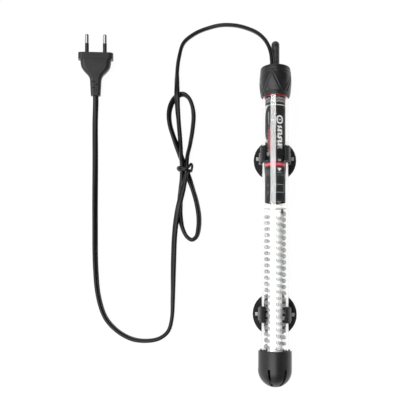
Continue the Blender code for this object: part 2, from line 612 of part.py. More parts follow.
def build():
    clear_scene()
    plastic = material("black_plastic", BLACK, 0.45)
    rubber = material("black_rubber", (0.025, 0.025, 0.027), 0.6)
    looks = {
        "board": material("brown_board", (0.35, 0.2, 0.1), 0.6),
        "brass": material("brass", BRASS, 0.3, 1.0),
        "steel": material("bright_wire", STEEL, 0.3, 1.0),
        "lamp": material("lamp_glass", (0.9, 0.45, 0.3), 0.1),
        "insulation": material("glass_fibre_sleeving", (0.8, 0.8, 0.78), 0.7),
        "ceramic": material("white_ceramic", (0.85, 0.85, 0.83), 0.5),
        "mica": material("mica", (0.8, 0.78, 0.72), 0.3),
        "nickel": material("nickel", (0.7, 0.68, 0.64), 0.2, 1.0),
        "cord": material("black_cord", (0.02, 0.02, 0.02), 0.5)}
    printed = material("printed_sleeve", (0.03, 0.03, 0.03), 0.5)
    dial = material("dial_print", (0.75, 0.08, 0.08), 0.5)

    make_tube(material("clear_glass", (0.95, 0.97, 0.97), 0.02, 0.0, 0.3))
    make_cap(plastic)
    make_stopper(material("red_silicone", (0.6, 0.03, 0.03), 0.4))
    make_guard(plastic)
    make_knob(plastic)
    make_stem(looks["brass"])
    make_seal(rubber)
    make_dial(dial)
    make_sleeve("upper_sleeve", DIAL_Y[1] + 0.4 * MM, SLEEVE_TOP_Y, printed)
    make_sleeve("lower_sleeve", SLEEVE_END_Y, DIAL_Y[0] - 0.4 * MM, printed)
    make_thermostat(looks)
    make_electrics(looks)
    make_heater(looks)
    for place, y in CUP_Y.items():
        make_clip(f"{place}_clip", y, plastic)
        make_cup(f"{place}_suction_cup", y, rubber)
    make_gland(rubber)
    make_cord(looks["cord"])
    make_tie(looks["cord"])
    make_plug(looks)


build()
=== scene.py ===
"""Looks of a submersible aquarium heater with its clips, suction cups, tied cord and two-pin plug.

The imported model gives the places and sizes: the tube lies along Y with its cap towards +Y, the
suction cups' rims stand on z = 0 and the print faces +Z. Lengths are in metres, and MM turns
millimetres into them. On the tube, s runs round the print to the right of its front line.
"""
import math

import bmesh
import bpy
from mathutils import Matrix, Vector


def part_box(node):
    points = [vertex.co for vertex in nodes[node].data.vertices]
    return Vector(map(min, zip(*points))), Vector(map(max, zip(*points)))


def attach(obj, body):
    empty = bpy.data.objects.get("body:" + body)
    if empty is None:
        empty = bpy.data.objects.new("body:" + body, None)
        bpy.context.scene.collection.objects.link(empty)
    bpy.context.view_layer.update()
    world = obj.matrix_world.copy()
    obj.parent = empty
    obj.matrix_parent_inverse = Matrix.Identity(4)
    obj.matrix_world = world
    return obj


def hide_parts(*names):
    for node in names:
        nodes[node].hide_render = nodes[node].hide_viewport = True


MM = 0.001

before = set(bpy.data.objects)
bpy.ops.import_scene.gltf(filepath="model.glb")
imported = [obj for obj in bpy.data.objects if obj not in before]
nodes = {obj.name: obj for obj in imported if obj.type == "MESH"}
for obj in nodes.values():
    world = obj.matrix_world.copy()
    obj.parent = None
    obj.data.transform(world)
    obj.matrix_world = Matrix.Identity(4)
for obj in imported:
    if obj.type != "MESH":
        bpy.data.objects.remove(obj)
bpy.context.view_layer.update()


def low(node):
    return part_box(node)[0]


def high(node):
    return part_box(node)[1]


def middle(node):
    return (low(node) + high(node)) / 2


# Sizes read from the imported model
AXIS_Z = middle("glass_tube").z
TUBE_R = high("glass_tube").x
SLEEVE_R = high("upper_sleeve").x
CAP_LOW_Y = low("cap").y
CAP_TOP_Y = high("cap").y
GUARD_R = high("bottom_guard").x

# Tube and print
TUBE_WALL = 1.5 * MM
BORE_R = TUBE_R - TUBE_WALL
INK_R = SLEEVE_R + 0.05 * MM
OVERPRINT_R = INK_R + 0.03 * MM

# Cap: its raised grip triangles, and the millimetre heights of the two grooves above them
CAP_MIDDLE_R = 14.2 * MM
CAP_PADS = 4
CAP_FIRST_PAD = math.radians(-12.5)
PAD_HEIGHT = 0.5 * MM
PAD_RIDGE = 0.3 * MM
PAD_APEX_Y = 121 * MM
PAD_FOOT_Y = 104.5 * MM
PAD_HALF_WIDTH = 7.5 * MM
CAP_GROOVES_Y = (122.8, 125.6)

# Guard: its slots, and the degrees round it of the ribs that grip the glass
GUARD_WALL = 1.5 * MM
GUARD_SLOTS = 6
GUARD_SLOT_WIDTH = 2.3 * MM
GUARD_FIRST_SLOT = math.radians(-21.5)
GUARD_RIB_ANGLES = (38, 68, 112, 142)
RIB_PROUD = 1 * MM
RIB_LENGTH = 12 * MM
RIB_HALF_WIDTH = 0.9 * MM

# Coil: a wide helix of many fine windings
COIL_TURNS = 22
COIL_START = math.radians(38)
WINDING_R = 1.3 * MM
COIL_REACH = 1.4 * MM
WINDINGS_PER_TURN = 30
WIRE_R = 0.24 * MM

# The clips' low wings, painted pale as a highlight under this height, and how far out their tips are,
# painted palest from there
WING_TOP_Z = 9.2 * MM
WING_FADE = 0.6 * MM
WING_TIP_X = 14.8 * MM
TIP_FADE = 1.4 * MM

# Camera
CAMERA_AT = Vector((-0.0088, -0.0810, 0.600))
CAMERA_AIM = Vector((-0.0679, 0.0060, 0.0250))
CAMERA_ROLL = 0.019
CAMERA_LENS = 57.87

# Kept low, so that the tube's edges stay pale
GLASS_IOR = 1.33

# Flat twin cord
CORD_WIDTH = 5.6 * MM
CORD_HEIGHT = 3.6 * MM
CORD_STEPS = 6

# The cord's route, with the roll of its flat section in degrees: 0 lies flat, 90 stands on edge
ROUTE_OUT = [
    (-0.0028, 0.1317, 0.0316, 70), (-0.0040, 0.1420, 0.0308, 75), (-0.0060, 0.1490, 0.0294, 80),
    (-0.0095, 0.1565, 0.0270, 80), (-0.0160, 0.1650, 0.0226, 80), (-0.0260, 0.1730, 0.0160, 80),
    (-0.0390, 0.1795, 0.0094, 80), (-0.0540, 0.1820, 0.0046, 80), (-0.0690, 0.1790, 0.0024, 80),
    (-0.0810, 0.1730, 0.0021, 85), (-0.0895, 0.1650, 0.0021, 85), (-0.0935, 0.1510, 0.0021, 70),
    (-0.0950, 0.1360, 0.0028, 70), (-0.0945, 0.1230, 0.0056, 40), (-0.0940, 0.1110, 0.0067, 10),
    (-0.0934, 0.0990, 0.0050, 40), (-0.0924, 0.0860, 0.0026, 60), (-0.0910, 0.0730, 0.0022, 60),
    (-0.0898, 0.0610, 0.0036, 60), (-0.0884, 0.0500, 0.0072, 70)]
ROUTE_LOWER_LOOP = [
    (-0.0876, 0.0400, 0.0077, 70), (-0.0879, 0.0310, 0.0046, 70), (-0.0886, 0.0210, 0.0022, 50),
    (-0.0892, 0.0080, 0.0021, 10), (-0.0888, -0.0060, 0.0021, 30), (-0.0860, -0.0180, 0.0021, 70),
    (-0.0818, -0.0256, 0.0021, 85), (-0.0770, -0.0284, 0.0021, 85), (-0.0729, -0.0254, 0.0021, 80),
    (-0.0710, -0.0170, 0.0021, 60), (-0.0710, -0.0060, 0.0021, 55), (-0.0734, 0.0070, 0.0021, 60),
    (-0.0770, 0.0190, 0.0023, 65), (-0.0808, 0.0295, 0.0033, 30)]
ROUTE_UPPER_LOOP = [
    (-0.0844, 0.0390, 0.0034, 0), (-0.0880, 0.0480, 0.0030, 0), (-0.0920, 0.0580, 0.0022, 20),
    (-0.0970, 0.0710, 0.0021, 60), (-0.1010, 0.0840, 0.0021, 60), (-0.1018, 0.0950, 0.0021, 50),
    (-0.0994, 0.1050, 0.0021, 30), (-0.0944, 0.1116, 0.0021, 10), (-0.0886, 0.1132, 0.0021, 60),
    (-0.0836, 0.1100, 0.0021, 80), (-0.0800, 0.1030, 0.0021, 75), (-0.0780, 0.0920, 0.0021, 60),
    (-0.0788, 0.0770, 0.0021, 60), (-0.0808, 0.0630, 0.0028, 65)]
ROUTE_AWAY = [
    (-0.0826, 0.0510, 0.0066, 70), (-0.0830, 0.0400, 0.0079, 70), (-0.0844, 0.0280, 0.0069, 50),
    (-0.0870, 0.0150, 0.0065, 15), (-0.0898, 0.0030, 0.0064, 5), (-0.0920, -0.0090, 0.0044, 20),
    (-0.0936, -0.0240, 0.0023, 30), (-0.0940, -0.0480, 0.0021, 30), (-0.0938, -0.0820, 0.0021, 60),
    (-0.0943, -0.1020, 0.0021, 80), (-0.0974, -0.1130, 0.0021, 85), (-0.1050, -0.1194, 0.0021, 85),
    (-0.1170, -0.1220, 0.0021, 80), (-0.1310, -0.1206, 0.0021, 75), (-0.1450, -0.1136, 0.0021, 75),
    (-0.1565, -0.1020, 0.0021, 70), (-0.1640, -0.0830, 0.0021, 60), (-0.1680, -0.0560, 0.0021, 50),
    (-0.1707, -0.0100, 0.0021, 30), (-0.1732, 0.0500, 0.0021, 10), (-0.1748, 0.0860, 0.0024, 4)]

# Twist tie, from its stub over and under the strands to its tail
TIE_WIDTH = 2.4 * MM
TIE_HEIGHT = 0.9 * MM
TIE_STEPS = 5
ROUTE_TIE = [
    (-0.0909, 0.0389, 0.0056, 0), (-0.0899, 0.0379, 0.0090, 0), (-0.0874, 0.0373, 0.0109, 0),
    (-0.0834, 0.0369, 0.0112, 0), (-0.0802, 0.0368, 0.0088, 0), (-0.0792, 0.0368, 0.0046, 0),
    (-0.0804, 0.0370, 0.0010, 0), (-0.0850, 0.0374, 0.0008, 0), (-0.0902, 0.0380, 0.0009, 0),
    (-0.0916, 0.0388, 0.0034, 0), (-0.0912, 0.0396, 0.0080, 0), (-0.0882, 0.0393, 0.0110, 0),
    (-0.0850, 0.0384, 0.0114, 0), (-0.0822, 0.0384, 0.0113, 0), (-0.0802, 0.0401, 0.0107, 0),
    (-0.0786, 0.0427, 0.0099, 0), (-0.0776, 0.0412, 0.0092, 0), (-0.0778, 0.0386, 0.0089, 0),
    (-0.0787, 0.0350, 0.0088, 0)]

# Plug: the middle of its face, its turn, nose-up pitch and roll
PLUG_FACE = Vector((-0.1749, 0.1532, 0.0106))
PLUG_TURN = math.radians(0.2)
PLUG_PITCH = math.radians(8)
PLUG_ROLL = math.radians(11)
PLUG_LENGTH = 41.7 * MM


def plug_matrix():
    """Where the plug lies: its face at the origin, its cord end towards -Y."""
    turn = Matrix.Rotation(PLUG_TURN, 4, "Z") @ Matrix.Rotation(PLUG_PITCH, 4, "X")
    return Matrix.Translation(PLUG_FACE) @ turn @ Matrix.Rotation(PLUG_ROLL, 4, "Y")


# Camera

def make_camera():
    """The view from above, rolled a degree."""
    camera = bpy.data.objects.new("Camera", bpy.data.cameras.new("Camera"))
    bpy.context.scene.collection.objects.link(camera)
    camera.data.lens = CAMERA_LENS
    ahead = (CAMERA_AIM - CAMERA_AT).normalized()
    right = ahead.cross(Vector((0, 1, 0))).normalized()
    up = right.cross(ahead)
    c, s = math.cos(CAMERA_ROLL), math.sin(CAMERA_ROLL)
    across, above = c * right + s * up, c * up - s * right
    turn = Matrix((across, above, -ahead)).transposed()
    camera.matrix_world = Matrix.Translation(CAMERA_AT) @ turn.to_4x4()
    bpy.context.scene.camera = camera


# Mesh helpers

def put(name, bm, look, body="heater", replaces=(), sharp=35, keep_normals=False):
    """Store a bmesh as a named piece that rides on a body."""
    if not keep_normals:
        bmesh.ops.recalc_face_normals(bm, faces=bm.faces[:])
    mesh = bpy.data.meshes.new(name)
    bm.to_mesh(mesh)
    bm.free()
    mesh.shade_smooth()
    mesh.set_sharp_from_angle(angle=math.radians(sharp))
    mesh.materials.append(look)
    piece = bpy.data.objects.new(name, mesh)
    bpy.context.scene.collection.objects.link(piece)
    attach(piece, body)
    if replaces:
        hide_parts(*replaces)
    return piece


def revolve(profile, segments, centre=(0, 0, AXIS_Z), axis="Y"):
    """Turn (radius, height) points about an axis through a centre. A profile that starts off the
    axis is closed."""
    bm = bmesh.new()
    centre = Vector(centre)
    rings = []
    for radius, height in profile:
        count = segments if radius > 1e-7 else 1
        ring = []
        for i in range(count):
            a = 2 * math.pi * i / segments
            u, v = radius * math.cos(a), radius * math.sin(a)
            place = Vector((u, height, v)) if axis == "Y" else Vector((u, v, height))
            ring.append(bm.verts.new(centre + place))
        rings.append(ring)
    pairs = list(zip(rings, rings[1:]))
    if profile[0][0] > 1e-7:
        pairs.append((rings[-1], rings[0]))
    for first, second in pairs:
        for i in range(segments):
            j = i + 1
            corners = [first[i % len(first)], first[j % len(first)],
                       second[j % len(second)], second[i % len(second)]]
            corners = list(dict.fromkeys(corners))
            if len(corners) > 2:
                bm.faces.new(corners)
    return bm


def arc(centre_r, centre_h, radius, start, end, steps):
    """Points of a round stretch of a profile, angles in degrees from straight out."""
    angles = [math.radians(start + (end - start) * i / steps) for i in range(steps + 1)]
    return [(max(centre_r + radius * math.cos(a), 0.0), centre_h + radius * math.sin(a)) for a in angles]


def smooth_path(route, steps):
    """A centripetal curve through the route's points, steps to each span, with its rolls."""
    points = [Vector(p[:3]) for p in route]
    points = [2 * points[0] - points[1]] + points + [2 * points[-1] - points[-2]]
    knots = [0.0]
    for a, b in zip(points, points[1:]):
        knots.append(knots[-1] + math.sqrt((b - a).length))
    path = []
    for span in range(len(route) - 1):
        for i in range(steps + (span == len(route) - 2)):
            share = i / steps
            t = knots[span + 1] + share * (knots[span + 2] - knots[span + 1])
            place = curve_point(points[span:span + 4], knots[span:span + 4], t)
            ease = share * share * (3 - 2 * share)
            path.append((place, route[span][3] + ease * (route[span + 1][3] - route[span][3])))
    return path


def curve_point(points, knots, t):
    """The Barry-Goldman pyramid for one span of a centripetal Catmull-Rom curve."""
    reach = ((0, 1), (1, 2), (2, 3)), ((0, 2), (1, 3)), ((1, 2),)
    for pairs in reach:
        points = [
            points[k].lerp(points[k + 1], (t - knots[i]) / (knots[j] - knots[i]))
            for k, (i, j) in enumerate(pairs)]
    return points[0]


def stadium(width, height, steps=6):
    """Outline of a flat section with round edges, as (across, up)."""
    flat = (width - height) / 2
    outline = []
    for side in (1, -1):
        for i in range(steps + 1):
            a = math.pi * (i / steps - 0.5) if side > 0 else math.pi * (i / steps + 0.5)
            outline.append((side * flat + height / 2 * math.cos(a), height / 2 * math.sin(a)))
    return outline


def skin(bm, rings):
    """Join rings of vertices into a tube closed at both ends."""
    count = len(rings[0])
    for first, second in zip(rings, rings[1:]):
        for k in range(count):
            n = (k + 1) % count
            bm.faces.new((first[k], first[n], second[n], second[k]))
    bm.faces.new(rings[0])
    bm.faces.new(rings[-1])


def sweep(path, outline):
    """A closed tube with this outline along a path of (place, roll in degrees)."""
    bm = bmesh.new()
    rings = []
    for i, (place, roll) in enumerate(path):
        ahead = (path[min(i + 1, len(path) - 1)][0] - path[max(i - 1, 0)][0]).normalized()
        side = Vector((0, 0, 1)).cross(ahead).normalized()
        up = ahead.cross(side)
        c, s = math.cos(math.radians(roll)), math.sin(math.radians(roll))
        across, above = c * side + s * up, c * up - s * side
        rings.append([bm.verts.new(place + u * across + v * above) for u, v in outline])
    skin(bm, rings)
    return bm


# Material helpers

def new_look(name):
    """A fresh material, its nodes and its shader."""
    look = bpy.data.materials.new(name)
    look.use_nodes = True
    return look, look.node_tree, look.node_tree.nodes["Principled BSDF"]


def noise(tree, scale, stretch=(1, 1, 1), detail=3.0):
    """Noise in the object's own coordinates, scale in waves to the metre."""
    place = tree.nodes.new("ShaderNodeTexCoord")
    turn = tree.nodes.new("ShaderNodeMapping")
    turn.inputs["Scale"].default_value = stretch
    tree.links.new(place.outputs["Object"], turn.inputs["Vector"])
    texture = tree.nodes.new("ShaderNodeTexNoise")
    texture.inputs["Scale"].default_value = scale
    texture.inputs["Detail"].default_value = detail
    tree.links.new(turn.outputs["Vector"], texture.inputs["Vector"])
    return texture.outputs[0]


def spread(tree, value, start, end, to_low, to_high):
    """Map a value's range start..end on to to_low..to_high, held at its ends."""
    node = tree.nodes.new("ShaderNodeMapRange")
    limits = {"From Min": start, "From Max": end, "To Min": to_low, "To Max": to_high}
    for name, number in limits.items():
        node.inputs[name].default_value = number
    tree.links.new(value, node.inputs["Value"])
    return node.outputs[0]


def mix(tree, share, first, second):
    """Mix two colours, each a tuple or a socket."""
    node = tree.nodes.new("ShaderNodeMix")
    node.data_type = "RGBA"
    tree.links.new(share, node.inputs[0])
    for socket, colour in ((node.inputs[6], first), (node.inputs[7], second)):
        if isinstance(colour, tuple):
            socket.default_value = (*colour, 1.0)
        else:
            tree.links.new(colour, socket)
    return node.outputs[2]


def bump(tree, shader, height, distance):
    """Let a height texture tilt the surface, distance deep."""
    node = tree.nodes.new("ShaderNodeBump")
    node.inputs["Distance"].default_value = distance
    tree.links.new(height, node.inputs["Height"])
    tree.links.new(node.outputs["Normal"], shader.inputs["Normal"])


def grained(name, dark, light, rough, patch=60, grain=2400, depth=0.015 * MM, metallic=0.0,
            stretch=(1, 1, 1)):
    """A surface whose colour and gloss drift in patches over a fine grain."""
    look, tree, shader = new_look(name)
    drift = noise(tree, patch, stretch)
    fine = noise(tree, grain, stretch, 2.0)
    colour = mix(tree, spread(tree, drift, 0.3, 0.7, 0, 1), dark, light)
    tree.links.new(colour, shader.inputs["Base Color"])
    tree.links.new(spread(tree, drift, 0.3, 0.7, *rough), shader.inputs["Roughness"])
    shader.inputs["Metallic"].default_value = metallic
    bump(tree, shader, fine, depth)
    return look, tree, shader


# Materials

def plastic_look():
    """Satin black moulding with a spark-eroded grain."""
    return grained("plastic", (0.017, 0.017, 0.018), (0.025, 0.025, 0.026), (0.24, 0.32))[0]


def highlit_grip_look():
    """The same moulding painted paler as a highlight, for the cap's raised triangles and the knob."""
    return grained("highlit_grip_plastic", (0.036, 0.036, 0.037), (0.075, 0.075, 0.078), (0.26, 0.40), 220)[0]


def clip_look():
    """Satin moulding whose low wings are painted pale as a highlight, their tips palest."""
    dark, light = (0.010, 0.010, 0.011), (0.017, 0.017, 0.018)
    look, tree, shader = grained("clip_plastic", dark, light, (0.22, 0.30))
    shader.inputs["Specular IOR Level"].default_value = 0.14
    place = tree.nodes.new("ShaderNodeTexCoord")
    split = tree.nodes.new("ShaderNodeSeparateXYZ")
    tree.links.new(place.outputs["Object"], split.inputs[0])
    fresh = shader.inputs["Base Color"].links[0].from_socket
    # Painted highlight: below WING_TOP_Z the colour turns pale and mottled, and palest towards the wing
    # tips
    wing_highlight_mask = spread(tree, split.outputs["Z"], WING_TOP_Z, WING_TOP_Z + WING_FADE, 1, 0)
    sideways = tree.nodes.new("ShaderNodeMath")
    sideways.operation = "ABSOLUTE"
    tree.links.new(split.outputs["X"], sideways.inputs[0])
    tip = spread(tree, sideways.outputs[0], WING_TIP_X, WING_TIP_X + TIP_FADE, 0, 1)
    patches = noise(tree, 420)
    mottled_highlight = mix(tree, patches, (0.10, 0.10, 0.105), (0.42, 0.42, 0.43))
    wing = mix(tree, tip, mottled_highlight, (0.62, 0.62, 0.63))
    tree.links.new(mix(tree, wing_highlight_mask, fresh, wing), shader.inputs["Base Color"])
    return look


def rubber_look():
    """Soft black rubber with a dull bloom."""
    look, tree, shader = grained("rubber", (0.006, 0.006, 0.007), (0.016, 0.016, 0.017), (0.45, 0.65),
                                 130, 1600, 0.02 * MM)
    shader.inputs["Specular IOR Level"].default_value = 0.2
    shader.inputs["Sheen Weight"].default_value = 0.03
    shader.inputs["Sheen Roughness"].default_value = 0.5
    return look


def plug_look():
    """Moulded PVC of the plug, a shade greyer than the cord."""
    return grained("plug_pvc", (0.014, 0.014, 0.015), (0.028, 0.028, 0.029), (0.30, 0.40), 110, 1500)[0]


def cord_look():
    """Black PVC, drawn lengthwise, a little glossier than the mouldings."""
    look, tree, shader = grained("cord_pvc", (0.003, 0.003, 0.003), (0.006, 0.006, 0.006), (0.20, 0.30),
                                 90, 1300, 0.01 * MM)
    shader.inputs["Specular IOR Level"].default_value = 0.4
    return look


def glass_look():
    """Clear drawn glass with the faintest film on it."""
    look, tree, shader = new_look("glass")
    shader.inputs["Transmission Weight"].default_value = 1.0
    shader.inputs["Roughness"].default_value = 0.0
    shader.inputs["IOR"].default_value = GLASS_IOR
    film = noise(tree, 35, (1, 0.3, 1))
    tree.links.new(mix(tree, film, (0.985, 0.99, 0.988), (1.0, 1.0, 1.0)), shader.inputs["Base Color"])
    return look


def silicone_look():
    """Dull red silicone that lets a little light in, its red painted darker as shade from the cap above
    it.
    """
    look, tree, shader = grained("silicone", (0.19, 0.020, 0.022), (0.27, 0.035, 0.038), (0.30, 0.45),
                                 140, 1500)
    shader.inputs["Subsurface Weight"].default_value = 0.15
    shader.inputs["Subsurface Radius"].default_value = (0.003, 0.0006, 0.0005)
    return look


def ink_look(name, dark, light):
    """Printed ink with thin and thick places, nearly matt."""
    look, tree, shader = grained(name, dark, light, (0.5, 0.65), 300, 3000, 0.006 * MM)
    shader.inputs["Specular IOR Level"].default_value = 0.12
    return look


def metal_look(name, dark, light, rough, stretch=(1, 1, 1)):
    """Bare metal with a faint drift in its polish."""
    return grained(name, dark, light, rough, 200, 3500, 0.004 * MM, 1.0, stretch)[0]


def ceramic_look():
    """Unglazed white ceramic with a faint cloudiness."""
    return grained("ceramic", (0.82, 0.82, 0.80), (0.90, 0.90, 0.88), (0.55, 0.7), 160, 2200)[0]


def lamp_look():
    """Thin orange-tinted glass of a neon lamp."""
    look, tree, shader = grained("lamp", (0.85, 0.42, 0.25), (0.95, 0.62, 0.45), (0.08, 0.16), 500)
    shader.inputs["Transmission Weight"].default_value = 0.6
    return look


def make_all_looks():
    """Every look by its name."""
    return {
        "plastic": plastic_look(),
        "grip": highlit_grip_look(),
        "clip": clip_look(),
        "rubber": rubber_look(),
        "plug": plug_look(),
        "cord": cord_look(),
        "glass": glass_look(),
        "silicone": silicone_look(),
        "ceramic": ceramic_look(),
        "lamp": lamp_look(),
        "black_ink": ink_look("black_ink", (0.004, 0.004, 0.004), (0.010, 0.010, 0.011)),
        "white_ink": ink_look("white_ink", (0.56, 0.56, 0.55), (0.68, 0.68, 0.67)),
        "grey_ink": ink_look("grey_ink", (0.22, 0.22, 0.22), (0.30, 0.30, 0.30)),
        "red_ink": ink_look("red_ink", (0.52, 0.05, 0.075), (0.64, 0.08, 0.11)),
        "rose_ink": ink_look("rose_ink", (0.24, 0.07, 0.08), (0.34, 0.12, 0.13)),
        "dark_red_ink": ink_look("dark_red_ink", (0.06, 0.020, 0.018), (0.10, 0.034, 0.030)),
        "olive_ink": ink_look("olive_ink", (0.025, 0.032, 0.028), (0.07, 0.08, 0.07)),
        "nickel": metal_look("nickel", (0.40, 0.40, 0.40), (0.50, 0.50, 0.50), (0.10, 0.2), (1, 0.1, 1)),
        "brass": metal_look("brass", (0.62, 0.45, 0.18), (0.78, 0.60, 0.28), (0.22, 0.35)),
        "steel": metal_look("steel", (0.45, 0.45, 0.46), (0.60, 0.60, 0.61), (0.22, 0.35)),
        "wire": grained("wire", (0.24, 0.24, 0.245), (0.34, 0.34, 0.345), (0.45, 0.6), 200, 3500)[0],
        "dark_steel": metal_look("dark_steel", (0.05, 0.05, 0.05), (0.09, 0.09, 0.09), (0.3, 0.45)),
        "board": grained("board", (0.05, 0.03, 0.02), (0.10, 0.065, 0.045), (0.5, 0.65), 180, 1800,
                         stretch=(1, 0.15, 1))[0],
        "sleeving": grained("sleeving", (0.62, 0.62, 0.59), (0.80, 0.80, 0.77), (0.6, 0.8),
                            500, 4000)[0],
        "mica": grained("mica", (0.76, 0.75, 0.73), (0.88, 0.87, 0.85), (0.2, 0.35), 240, 1500)[0],
    }


# Cord, tie and plug

def resting_path(route, width, height):
    """The smooth path, lifted where its flat section on edge would pass below the floor."""
    path = []
    for place, roll in smooth_path(route, CORD_STEPS):
        a = math.radians(roll)
        half = (width - height) / 2 * abs(math.sin(a)) + height / 2
        path.append((Vector((place.x, place.y, max(place.z, half + 0.05 * MM))), roll))
    return path


def make_cord(looks):
    """The flat cord from the cap to the plug. Returns its piece, its centreline and its length."""
    plug_end = plug_matrix() @ Vector((0, -PLUG_LENGTH + 0.3 * MM, 0))
    plug_lead = plug_matrix() @ Vector((0, -PLUG_LENGTH - 8 * MM, 0))
    route = ROUTE_OUT + ROUTE_LOWER_LOOP + ROUTE_UPPER_LOOP + ROUTE_AWAY
    roll = math.degrees(PLUG_ROLL)
    route = route + [(*plug_lead, roll), (*plug_end, roll)]
    path = resting_path(route, CORD_WIDTH, CORD_HEIGHT)
    piece = put("cord_flat", sweep(path, stadium(CORD_WIDTH, CORD_HEIGHT)), looks["cord"],
                replaces=["cord"], sharp=60)
    places = [place for place, _ in path]
    length = sum((b - a).length for a, b in zip(places, places[1:]))
    return piece, places, length


def make_tie(looks):
    """The wire tie round the bundle, with its bent end."""
    path = smooth_path(ROUTE_TIE, TIE_STEPS)
    put("tie_ribbon", sweep(path, stadium(TIE_WIDTH, TIE_HEIGHT, 3)), looks["cord"],
        replaces=["cord_tie"], sharp=60)


make_camera()
looks = make_all_looks()
cord, cord_path, cord_length = make_cord(looks)
make_tie(looks)


# Glass, stopper, cap and knob

def make_glass():
    """The tube, blown round at its foot and open at the cap."""
    round_y = low("glass_tube").y + TUBE_R
    top = high("glass_tube").y
    outside = arc(0, round_y, TUBE_R, -90, 0, 24)
    inside = arc(0, round_y, BORE_R, 0, -90, 24)
    profile = outside + [(TUBE_R, top), (BORE_R, top)] + inside
    return put("glass", revolve(profile, 128), looks["glass"],
               replaces=["glass_tube"])


def make_stopper():
    """The silicone plug, pressed against the glass all round."""
    foot, top = low("stopper").y, high("stopper").y
    press = BORE_R + 0.04 * MM
    flange_r = high("stopper").x
    shoulder = high("glass_tube").y + 0.3 * MM
    soft = 0.5 * MM
    profile = [(0, foot)] + arc(press - soft, foot + soft, soft, -90, 0, 4)
    profile += [(press, shoulder), (flange_r, shoulder), (flange_r, top), (0, top)]
    put("stopper_plug", revolve(profile, 96), looks["silicone"],
        replaces=["stopper"])


def cap_radius(y):
    """Radius of the barrel at a height, with the grooves below its rounded top."""
    rows = ((101.6, 12.95), (102.1, 13.2), (103, 13.35), (106, 13.5), (110, 13.85), (114, 14.2),
            (119, 14.3), (124, 14.15), (127, 13.9), (128.4, 13.7), (129, 13.45), (129.5, 12.9),
            (129.8, 11.5), (130, 8))
    y = y / MM
    for (y0, r0), (y1, r1) in zip(rows, rows[1:]):
        if y <= y1:
            break
    radius = r0 + (r1 - r0) * (y - y0) / (y1 - y0)
    groove_width, groove_depth = 0.4, 0.3
    grooves = sum(math.exp(-((y - place) / groove_width) ** 2) for place in CAP_GROOVES_Y)
    return (radius - groove_depth * grooves) * MM


def pad_rise(angle, y):
    """How far a raised grip triangle stands out at this place."""
    turn = 2 * math.pi / CAP_PADS
    off = (angle - CAP_FIRST_PAD + turn / 2) % turn - turn / 2
    x = abs(CAP_MIDDLE_R * math.sin(off))
    rise = PAD_APEX_Y - PAD_FOOT_Y
    slope = math.hypot(rise, PAD_HALF_WIDTH)
    inside = min(y - PAD_FOOT_Y, (PAD_HALF_WIDTH * (PAD_APEX_Y - y) - rise * x) / slope)
    share = max(0.0, min(1.0, inside / (0.7 * MM)))
    ridge = math.exp(-((inside / MM + 1.5) / 0.4) ** 2)
    return PAD_HEIGHT * share * share * (3 - 2 * share) + PAD_RIDGE * ridge


def make_cap():
    """The barrel-shaped cap, its four grip triangles raised from a fine skin."""
    segments, rows = 288, 84
    angles = [2 * math.pi * i / segments for i in range(segments)]
    spans = [(CAP_TOP_Y - CAP_LOW_Y) * (1 - (1 - k / rows) ** 1.15) for k in range(rows + 1)]
    heights = [CAP_LOW_Y + span for span in spans]
    radii = [[cap_radius(y) + pad_rise(a, y) for a in angles] for y in heights]
    bore = TUBE_R + 0.3 * MM
    neck = 2.8 * MM
    ceiling = CAP_TOP_Y - 4.4 * MM
    inner = [(neck, CAP_TOP_Y), (neck, ceiling), (bore, ceiling), (bore, CAP_LOW_Y)]
    bm = bmesh.new()
    rings = []
    for y, around in list(zip(heights, radii)) + [(y, [r] * segments) for r, y in inner]:
        rings.append([bm.verts.new((r * math.sin(a), y, AXIS_Z + r * math.cos(a)))
                      for r, a in zip(around, angles)])
    half_step = math.pi / segments
    for k, (first, second) in enumerate(zip(rings, rings[1:] + rings[:1])):
        for i in range(segments):
            n = (i + 1) % segments
            face = bm.faces.new((first[i], first[n], second[n], second[i]))
            # Faces on the raised triangles take the second, paler material, a painted highlight
            on_pad = k < rows and pad_rise(angles[i] + half_step, heights[k]) > 0.9 * PAD_HEIGHT
            face.material_index = int(on_pad)
    cap = put("cap_shell", bm, looks["plastic"], replaces=["cap"])
    cap.data.materials.append(looks["grip"])


def make_knob():
    """The straight turning knob with its round tip and the small mark on its front."""
    tip_y = high("temperature_knob").y
    radius = high("temperature_knob").x
    foot = CAP_TOP_Y + 0.3 * MM
    profile = arc(0, tip_y - radius, radius, 90, 0, 20) + [(radius, foot), (0, foot)]
    # The knob wears the same paler look, painted as a highlight
    put("knob", revolve(profile, 72), looks["grip"], "dial", ["temperature_knob"], 60)
    mark = (0, tip_y - 5 * MM, AXIS_Z + radius - 0.15 * MM)
    dot = revolve([(0, 0), (0.75 * MM, 0), (0.75 * MM, 0.25 * MM), (0, 0.25 * MM)], 24, mark, "Z")
    put("knob_mark", dot, looks["black_ink"], "dial")


def box_mesh(low_corner, high_corner):
    """A box between two corners."""
    bm = bmesh.new()
    low_corner, high_corner = Vector(low_corner), Vector(high_corner)
    bmesh.ops.create_cube(bm, size=1.0)
    bmesh.ops.scale(bm, vec=high_corner - low_corner, verts=bm.verts)
    bmesh.ops.translate(bm, vec=(low_corner + high_corner) / 2, verts=bm.verts)
    return bm


